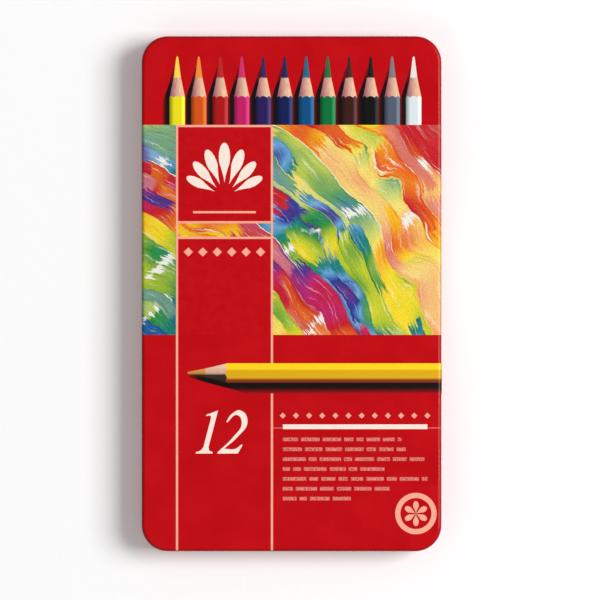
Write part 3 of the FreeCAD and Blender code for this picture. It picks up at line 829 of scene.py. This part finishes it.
def skin_depth(point, base_side):
    """Distance of a point below the tin's outer skin, from the tin's rounded outline and bent edges."""
    size = sizes()
    corner_x = abs(point.x) - HALF_WIDTH + size.corner_radius
    corner_y = abs(point.y) - HALF_LENGTH + size.corner_radius
    outline = math.hypot(max(corner_x, 0), max(corner_y, 0)) + min(max(corner_x, corner_y), 0)
    beyond = outline - size.corner_radius + size.edge_radius
    rise = (-point.z if base_side else point.z - LID_TOP) + size.edge_radius
    reach = math.hypot(max(beyond, 0), max(rise, 0)) + min(max(beyond, rise), 0)
    return size.edge_radius - reach


def dress_node(node, *materials):
    """Put finishes into a frame node's material slots."""
    piece = frame["nodes"][node]
    piece.data.materials.clear()
    for material in materials:
        piece.data.materials.append(material)
    return piece


class PENCILTIN_OT_tin(bpy.types.Operator):
    """Lacquer the outside of the base and the lid, and leave their insides bare tin"""
    bl_idname = "pencil_tin.tin"
    bl_label = "Finish the tin"

    def execute(self, context):
        lacquer = red_lacquer("red_lacquer")
        inside = bare_tin("bare_tin")
        for node in ("base_tin", "lid_tin"):
            piece = dress_node(node, lacquer, inside)
            for face in piece.data.polygons:
                depth = skin_depth(face.center, node == "base_tin")
                face.material_index = int(depth > sizes().sheet / 2)
        return {"FINISHED"}


class PENCILTIN_OT_hinges(bpy.types.Operator):
    """Finish the two hinge wires"""
    bl_idname = "pencil_tin.hinges"
    bl_label = "Finish the hinge wires"

    def execute(self, context):
        wire = drawn_wire("drawn_wire")
        for node in ("rear_hinge_pin", "front_hinge_pin"):
            dress_node(node, wire)
        return {"FINISHED"}


class PENCILTIN_OT_tray(bpy.types.Operator):
    """Finish the moulded tray"""
    bl_idname = "pencil_tin.tray"
    bl_label = "Finish the tray"

    def execute(self, context):
        dress_node("pencil_tray", moulded_plastic("moulded_plastic"))
        return {"FINISHED"}


class PENCILTIN_OT_pencils(bpy.types.Operator):
    """Finish the casing, the lacquer and the lead of each pencil"""
    bl_idname = "pencil_tin.pencils"
    bl_label = "Finish the pencils"

    def execute(self, context):
        cedar = cut_cedar("cut_cedar")
        for body in PENCILS:
            hue = body.removesuffix("_pencil")
            lacquer = pencil_lacquer(f"{hue}_lacquer_coat", SLOT_COLOURS[f"{hue}_lacquer"])
            lead = pigment_lead(f"{hue}_pigment", SLOT_COLOURS[f"{hue}_lead"])
            dress_node(f"{body}_casing", cedar)
            dress_node(f"{body}_lacquer", lacquer)
            dress_node(f"{body}_lead", lead)
        return {"FINISHED"}


class PENCILTIN_OT_picture_band(bpy.types.Operator):
    """Print the picture band over the lid and down its sides"""
    bl_idname = "pencil_tin.picture_band"
    bl_label = "Print the picture band"

    def execute(self, context):
        band = context.scene.tin_band
        side = over_ink(HALF_WIDTH, GROUND)
        piece = start_sheet("picture_band", -side, side, band.bottom, band.top, ink_level(GROUND))
        fold_down(piece, GROUND, lambda middle: abs(middle.x) > side - NEAR)
        centre = (0, (band.bottom + band.top) / 2, LID_TOP)
        put_on_lid(thicken(piece, GROUND), watercolour_picture("watercolour_picture", centre))
        return {"FINISHED"}


class PENCILTIN_OT_column(bpy.types.Operator):
    """Print the panel, the red column below it and the rules round them"""
    bl_idname = "pencil_tin.column"
    bl_label = "Print the column"

    def execute(self, context):
        band = context.scene.tin_band
        red = varnished_ink("red_ink", colours().red, spread=0.07)
        blush = varnished_ink("rule_ink", colours().blush)
        half = band.rule / 2
        print_sheet("title_panel", band.left, band.right, band.panel_bottom, band.top, FIELD, red)
        print_sheet("column_field", band.left, band.right, band.bottom, band.column_top, FIELD, red)
        rules = {
            "panel_head_rule": band.top - half,
            "panel_foot_rule": band.panel_bottom,
            "column_head_rule": band.column_top,
        }
        for name, middle in rules.items():
            print_sheet(name, band.left, band.right, middle - half, middle + half, RULE, blush)
        end = -over_ink(HALF_LENGTH, COLUMN_RULE)
        level = ink_level(COLUMN_RULE)
        rule = start_sheet("left_column_rule", band.left - half, band.left + half, end, band.top, level)
        fold_down(rule, COLUMN_RULE, lambda middle: middle.y < end + NEAR)
        thicken(rule, COLUMN_RULE)
        other = copy_piece(rule, "right_column_rule", (band.right - band.left, 0, 0))
        put_on_lid(rule, blush)
        put_on_lid(other, blush)
        return {"FINISHED"}


LEAD_WIDTH = 0.46
POINT_WIDTH = 0.3
BLUNT_WIDTH = 0.4
BLUNT_SHARE = 0.06
SHADOW_LEAN = 0.13


def pencil_sheet(name, spots, half_width, direction, lean=Vector()):
    """Outline of a printed pencil from the spots of its foot, wood, lead and tip, which may lean aside."""
    foot, wood, lead, tip = spots
    run = direction * (wood - foot).dot(direction)
    across = Vector((half_width, 0, 0)) if direction.y else Vector((0, half_width, 0))
    corners = [foot - across, foot + across, foot + run - across, foot + run + across]
    xs = [corner.x for corner in corners]
    ys = [corner.y for corner in corners]
    piece = start_sheet(name, min(xs), max(xs), min(ys), max(ys), foot.z)
    slant = direction + lean
    point = (tip - lead).length
    at = taper_on(piece, wood, slant, (lead - wood).length, LEAD_WIDTH)
    at = taper_on(piece, at, slant, point * (1 - BLUNT_SHARE), POINT_WIDTH)
    taper_on(piece, at, slant, point * BLUNT_SHARE, BLUNT_WIDTH)
    return piece


class PENCILTIN_OT_pencil_row(bpy.types.Operator):
    """Print the row of pencils, each with its shadow"""
    bl_idname = "pencil_tin.pencil_row"
    bl_label = "Print the pencil row"

    def execute(self, context):
        row = context.scene.tin_row
        foot = context.scene.tin_band.top
        half = row.half_width
        places = (foot, row.wood, row.lead, row.tip)
        spots = [Vector((row.first, y, ink_level(FIELD))) for y in places]
        first = thicken(pencil_sheet(f"printed_{PENCILS[0]}", spots, half, UP), FIELD)
        shade_x = row.first - row.shadow_reach
        drop = row.shadow_drop
        places = (foot, row.wood - drop, row.lead - drop, row.tip - row.shadow_short)
        spots = [Vector((shade_x, y, ink_level(GROUND))) for y in places]
        first_shadow = pencil_sheet(f"printed_{PENCILS[0]}_shadow", spots, half, UP, SHADOW_LEAN * RIGHT)
        thicken(first_shadow, GROUND)
        for place, body in enumerate(PENCILS):
            offset = Vector((place * row.pitch, 0, 0))
            hue = body.removesuffix("_pencil")
            border = Vector((row.first, row.wood, 0)) + offset
            ink = printed_pencil_ink(
                f"printed_{body}_ink", border, half, row.lead - row.wood,
                facets(SLOT_COLOURS[f"{hue}_lacquer"], ROW_FACETS), row_cone(),
                facets(SLOT_COLOURS[f"{hue}_lead"], LEAD_CONE))
            edge = Vector((shade_x - half, row.wood, 0)) + offset
            fade_to = row.tip - row.wood - row.shadow_fade
            shade = printed_shadow_ink(
                f"printed_{body}_shade", edge, row.shadow_reach, -row.shadow_fade, fade_to)
            pencil = copy_piece(first, f"printed_{body}", offset) if place else first
            shadow = copy_piece(first_shadow, f"printed_{body}_shadow", offset) if place else first_shadow
            put_on_lid(pencil, ink)
            put_on_lid(shadow, shade)
        return {"FINISHED"}


def print_long_outline(name, layer, half, middle, places, lean, ink):
    """Print a pencil's outline that runs over the lid's right edge, down to its skirt."""
    spots = [Vector((x, middle, ink_level(layer))) for x in (over_ink(HALF_WIDTH, layer), *places)]
    piece = pencil_sheet(name, spots, half, LEFT, lean)
    fold_right(piece, layer)
    put_on_lid(thicken(piece, layer), ink)


class PENCILTIN_OT_long_pencil(bpy.types.Operator):
    """Print the long pencil that runs over the lid's right edge, with its shadow"""
    bl_idname = "pencil_tin.long_pencil"
    bl_label = "Print the long pencil"

    def execute(self, context):
        long = context.scene.tin_long_pencil
        half = long.half_width
        turn = math.pi / 2
        shade_middle = long.middle - long.shadow_reach
        ink = printed_pencil_ink(
            "long_printed_pencil_ink", (long.wood, long.middle, 0), half, long.wood - long.lead,
            long_facets(), facets(colours().wood, LONG_CONE), facets(colours().amber, LONG_CONE), turn)
        shade = printed_shadow_ink(
            "long_printed_shade", (long.wood, shade_middle - half, 0), long.shadow_reach,
            long.shadow_fade, long.wood - long.tip, turn)
        places = (long.wood, long.lead, long.tip)
        print_long_outline("long_printed_pencil", LONG_PENCIL, half, long.middle, places, Vector(), ink)
        short = long.shadow_short
        places = (long.wood + long.shadow_start, long.lead + short, long.tip + short)
        name = "long_printed_pencil_shadow"
        print_long_outline(name, LONG_SHADOW, half, shade_middle, places, SHADOW_LEAN * UP, shade)
        return {"FINISHED"}


# Upright outlines of the numerals, in sixteenths of their height.
NUMERAL_UNITS = 16
NUMERAL_STEP = 8.1
ONE = (
    (0.0, 0.0, "VECTOR"), (0.0, 0.55, "VECTOR"), (1.6, 1.2, "AUTO"), (2.3, 2.4, "VECTOR"),
    (2.3, 13.2, "VECTOR"), (1.9, 14.0, "AUTO"), (0.3, 13.9, "VECTOR"), (0.3, 14.4, "VECTOR"),
    (4.2, 16.0, "VECTOR"), (4.2, 2.4, "VECTOR"), (4.8, 1.2, "AUTO"), (6.2, 0.55, "VECTOR"),
    (6.2, 0.0, "VECTOR"),
)
TWO = (
    (0.0, 0.0, "VECTOR"), (0.0, 0.5, "VECTOR"), (4.3, 6.2, "AUTO"), (6.1, 11.2, "AUTO"),
    (3.6, 14.3, "AUTO"), (0.7, 11.6, "VECTOR"), (0.2, 11.8, "VECTOR"), (1.6, 14.8, "AUTO"),
    (4.5, 16.0, "AUTO"), (8.1, 11.9, "AUTO"), (5.9, 6.2, "AUTO"), (2.0, 1.8, "VECTOR"),
    (6.3, 1.8, "AUTO"), (8.0, 3.3, "VECTOR"), (8.6, 3.3, "VECTOR"), (7.6, 0.0, "VECTOR"),
)


def numeral(name, outline, left, foot, scale, slope, level):
    """Flat italic numeral from an upright outline."""
    start_fresh()
    bpy.ops.curve.primitive_bezier_circle_add()
    curve = bpy.context.object.data
    curve.dimensions = "2D"
    curve.fill_mode = "BOTH"
    curve.resolution_u = 8
    points = curve.splines[0].bezier_points
    points.add(len(outline) - len(points))
    for point, (x, y, handle) in zip(points, outline):
        point.co = (left + (x + slope * y) * scale, foot + y * scale, level)
        point.handle_left_type = point.handle_right_type = handle
    bpy.ops.object.convert(target="MESH")
    return name_piece(name)


class PENCILTIN_OT_number(bpy.types.Operator):
    """Print the number of pencils in italic numerals"""
    bl_idname = "pencil_tin.number"
    bl_label = "Print the number"

    def execute(self, context):
        notes = context.scene.tin_notes
        cream = varnished_ink("number_ink", colours().cream)
        scale = notes.number_height / NUMERAL_UNITS
        for name, outline, step in (("numeral_one", ONE, 0.0), ("numeral_two", TWO, NUMERAL_STEP)):
            left = notes.number_left + step * scale
            piece = numeral(
                name, outline, left, notes.number_foot, scale, notes.number_slope, ink_level(FIELD))
            put_on_lid(thicken(piece, FIELD), cream)
        return {"FINISHED"}


NOTE_SHARES = (0.82, 0.85, 0.98, 0.74, 1.0, 0.74, 0.47)
WORD_SEED = 12


class PENCILTIN_OT_notes(bpy.types.Operator):
    """Print the bar, the row of dots and the ruled notes to the right of the column"""
    bl_idname = "pencil_tin.notes"
    bl_label = "Print the notes"

    def execute(self, context):
        notes = context.scene.tin_notes
        cream = varnished_ink("notes_cream_ink", colours().cream)
        rose = uneven_ink("notes_rose_ink", colours().rose, colours().red)
        blush = varnished_ink("notes_blush_ink", colours().blush)
        bar_foot = notes.bar_top - notes.bar_height
        print_sheet("notes_bar", notes.left, notes.right, bar_foot, notes.bar_top, FIELD, cream)
        line = notes.bar_top - notes.bar_height * notes.hairline_share
        low = line - notes.hairline / 2
        high = line + notes.hairline / 2
        start = context.scene.tin_band.right
        end = over_ink(HALF_WIDTH, GROUND)
        hair = start_sheet("notes_hairline", start, end, low, high, ink_level(GROUND))
        fold_right(hair, GROUND)
        put_on_lid(thicken(hair, GROUND), rose)
        span = notes.right - notes.left
        dots = []
        for place in range(len(PENCILS)):
            x = notes.left + place * span / (len(PENCILS) - 1)
            dot = start_disc("dot", x, notes.dots_line, ink_level(FIELD), notes.dot_radius, corners=4)
            dots.append(thicken(dot, FIELD))
        put_on_lid(join_pieces("notes_dots", dots), blush)
        words = random.Random(WORD_SEED)
        bars = []
        for row, share in enumerate(NOTE_SHARES):
            low = notes.top - row * notes.step - notes.word_height / 2
            high = low + notes.word_height
            x = notes.left
            stop = x + span * share
            while x < stop - notes.word_rest:
                word = min(words.uniform(notes.word_least, notes.word_most), stop - x)
                bar = start_sheet("word", x, x + word, low, high, ink_level(GROUND))
                bars.append(thicken(bar, GROUND))
                x += word + notes.word_gap
        put_on_lid(join_pieces("notes_lines", bars), rose)
        return {"FINISHED"}


# Steps that draw out a dab's inner end: the border and the pull in half lengths, and the width kept.
DAB_STEPS = ((0.6, 0.2, 0.72), (1.05, 0.22, 0.7), (1.38, 0.38, 1.0))
DAB_CORNERS = 16
SIDE_DABS = (-3, -2, -1, 1, 2, 3)
LOZENGES = 6
LEAVES = 6
RING_CORNERS = 48


def petal(name, x, y, level, width, reach):
    """Brush dab: a disc stretched along Y, drawn out to a point at its inner end."""
    piece = start_disc(name, x, y, level, width / 2, DAB_CORNERS, reach / width)
    half = reach / 2
    for border, pull, kept in DAB_STEPS:
        limit = y - half * border
        pick(piece, "VERT", lambda middle: middle.y < limit)
        bpy.ops.transform.translate(value=(0, -half * pull, 0))
        bpy.ops.transform.resize(value=(kept, 1, 1), center_override=(x, y, level))
    return piece


class PENCILTIN_OT_ornaments(bpy.types.Operator):
    """Print the fan of brush dabs on the panel, the lozenges below it and the round seal"""
    bl_idname = "pencil_tin.ornaments"
    bl_label = "Print the ornaments"

    def execute(self, context):
        band = context.scene.tin_band
        plan = context.scene.tin_ornaments
        cream = varnished_ink("ornament_ink", colours().cream)
        blush = varnished_ink("ornament_blush_ink", colours().blush)
        middle = (band.left + band.right) / 2
        foot = band.panel_bottom
        level = ink_level(RULE)
        pivot = Vector((middle, foot + plan.fan_rise, level))
        dab = petal("dab", middle, pivot.y + plan.dab_reach, level, plan.dab_width, plan.dab_length)
        turns = [(-plan.dab_turn * place, 1 - plan.dab_shrink * abs(place)) for place in SIDE_DABS]
        put_on_lid(join_pieces("panel_fan", turned_copies(thicken(dab, RULE), pivot, turns)), cream)
        left = middle - plan.small_rule_half
        right = middle + plan.small_rule_half
        low = foot + plan.small_rule_low
        print_sheet("panel_small_rule", left, right, low, foot + plan.small_rule_high, RULE, blush)
        lozenges = []
        for place in range(LOZENGES):
            x = middle + (place - (LOZENGES - 1) / 2) * plan.lozenge_step
            y = band.column_top - plan.lozenge_drop
            lozenge = start_disc("lozenge", x, y, level, plan.lozenge_radius, corners=4)
            lozenges.append(thicken(lozenge, RULE))
        put_on_lid(join_pieces("column_lozenges", lozenges), blush)
        centre = Vector((plan.seal_x, plan.seal_y, ink_level(FIELD)))
        ring = start_disc("seal_ring", *centre, plan.seal_radius, RING_CORNERS)
        bpy.ops.mesh.inset(thickness=plan.seal_ring)
        bpy.ops.mesh.delete(type="FACE")
        thicken(ring, FIELD)
        y = centre.y + plan.leaf_reach
        leaf = petal("leaf", centre.x, y, centre.z, plan.leaf_width, plan.leaf_length)
        turns = [(math.tau * place / LEAVES, 1.0) for place in range(1, LEAVES)]
        leaves = turned_copies(thicken(leaf, FIELD), centre, turns)
        put_on_lid(join_pieces("seal", [ring, *leaves]), blush)
        return {"FINISHED"}


def floor_paper(name):
    """White studio paper that the camera sees as white outside the shadow."""
    finish = Finish(name, roughness=0.9, specular=0.0)
    fibres = finish.noise(finish.place(), 0.6, detail=3.0)
    finish.colour(finish.ramp(fibres, ((0.3, grey(0.90)), (0.7, grey(0.93)))))
    path = finish.node("LightPath").outputs
    seen = finish.math("MAXIMUM", path["Is Camera Ray"], path["Is Glossy Ray"])
    glow = {"Emission Color": grey(1.0), "Emission Strength": finish.math("MULTIPLY", seen, 0.1)}
    finish.wire(finish.shader, glow)
    return finish.material


def hang_lamp(name, place, side, watts):
    """Square lamp that faces the tin."""
    lamp = bpy.data.lights.new(name, "AREA")
    lamp.shape = "SQUARE"
    lamp.size = side
    lamp.energy = watts
    holder = bpy.data.objects.new(name, lamp)
    holder.location = place
    holder.rotation_euler = (-holder.location).to_track_quat("-Z", "Y").to_euler()
    bpy.context.scene.collection.objects.link(holder)


SENSOR_WIDTH = 36
CAMERA_RANGE = 20


class PENCILTIN_OT_stage(bpy.types.Operator):
    """Lay the floor, hang the lamps and set the camera straight above the lid"""
    bl_idname = "pencil_tin.stage"
    bl_label = "Set the stage"

    def execute(self, context):
        scene = context.scene
        stage = scene.tin_stage
        half = stage.floor / 2
        floor = start_sheet("studio_floor", -half, half, -half, half, -stage.floor_drop)
        bpy.ops.mesh.subdivide(number_cuts=4)
        bpy.ops.object.mode_set(mode="OBJECT")
        floor.data.materials.append(floor_paper("floor_paper"))
        scene.world = scene.world or bpy.data.worlds.new("studio_world")
        scene.world.use_nodes = True
        sky = scene.world.node_tree.nodes["Background"]
        sky.inputs["Color"].default_value = grey(1.0)
        sky.inputs["Strength"].default_value = stage.sky
        hang_lamp("key_lamp", stage.key_spot, stage.key_side, stage.key_power)
        hang_lamp("fill_lamp", stage.fill_spot, stage.fill_side, stage.fill_power)
        lens = bpy.data.cameras.new("photo_camera")
        lens.sensor_width = SENSOR_WIDTH
        lens.lens = SENSOR_WIDTH * stage.height / stage.frame_width
        lens.clip_end = CAMERA_RANGE
        camera = bpy.data.objects.new("photo_camera", lens)
        camera.location = (stage.aim_x, stage.aim_y, LID_TOP + stage.height)
        scene.collection.objects.link(camera)
        scene.camera = camera
        scene.view_settings.view_transform = "Standard"
        return {"FINISHED"}


OPERATORS = (
    PENCILTIN_OT_tin, PENCILTIN_OT_hinges, PENCILTIN_OT_tray, PENCILTIN_OT_pencils,
    PENCILTIN_OT_picture_band, PENCILTIN_OT_column, PENCILTIN_OT_pencil_row, PENCILTIN_OT_long_pencil,
    PENCILTIN_OT_number, PENCILTIN_OT_notes, PENCILTIN_OT_ornaments, PENCILTIN_OT_stage,
)
SETTINGS = {
    "tin_sizes": TinSizes,
    "tin_band": BandSizes,
    "tin_row": RowSizes,
    "tin_long_pencil": LongPencilSizes,
    "tin_notes": NoteSizes,
    "tin_ornaments": OrnamentSizes,
    "tin_colours": TinColours,
    "tin_stage": StageSizes,
}


class PENCILTIN_PT_panel(bpy.types.Panel):
    """Sizes, colours and steps of the pencil tin"""
    bl_label = "Pencil tin"
    bl_idname = "PENCILTIN_PT_panel"
    bl_space_type = "VIEW_3D"
    bl_region_type = "UI"
    bl_category = "Pencil tin"

    def draw(self, context):
        for operator in OPERATORS:
            self.layout.operator(operator.bl_idname)
        for name, group in SETTINGS.items():
            box = self.layout.box()
            box.label(text=group.__doc__)
            for setting in group.__annotations__:
                box.prop(getattr(context.scene, name), setting)


def register():
    for item in (*SETTINGS.values(), *OPERATORS, PENCILTIN_PT_panel):
        bpy.utils.register_class(item)
    for name, group in SETTINGS.items():
        setattr(bpy.types.Scene, name, PointerProperty(type=group))


def unregister():
    for name in SETTINGS:
        delattr(bpy.types.Scene, name)
    for item in (PENCILTIN_PT_panel, *reversed(OPERATORS), *reversed(SETTINGS.values())):
        bpy.utils.unregister_class(item)


def main():
    register()
    bpy.ops.pencil_tin.tin()
    bpy.ops.pencil_tin.hinges()
    bpy.ops.pencil_tin.tray()
    bpy.ops.pencil_tin.pencils()
    bpy.ops.pencil_tin.picture_band()
    bpy.ops.pencil_tin.column()
    bpy.ops.pencil_tin.pencil_row()
    bpy.ops.pencil_tin.long_pencil()
    bpy.ops.pencil_tin.number()
    bpy.ops.pencil_tin.notes()
    bpy.ops.pencil_tin.ornaments()
    bpy.ops.pencil_tin.stage()
    start_fresh()


if __name__ == "__main__":
    main()
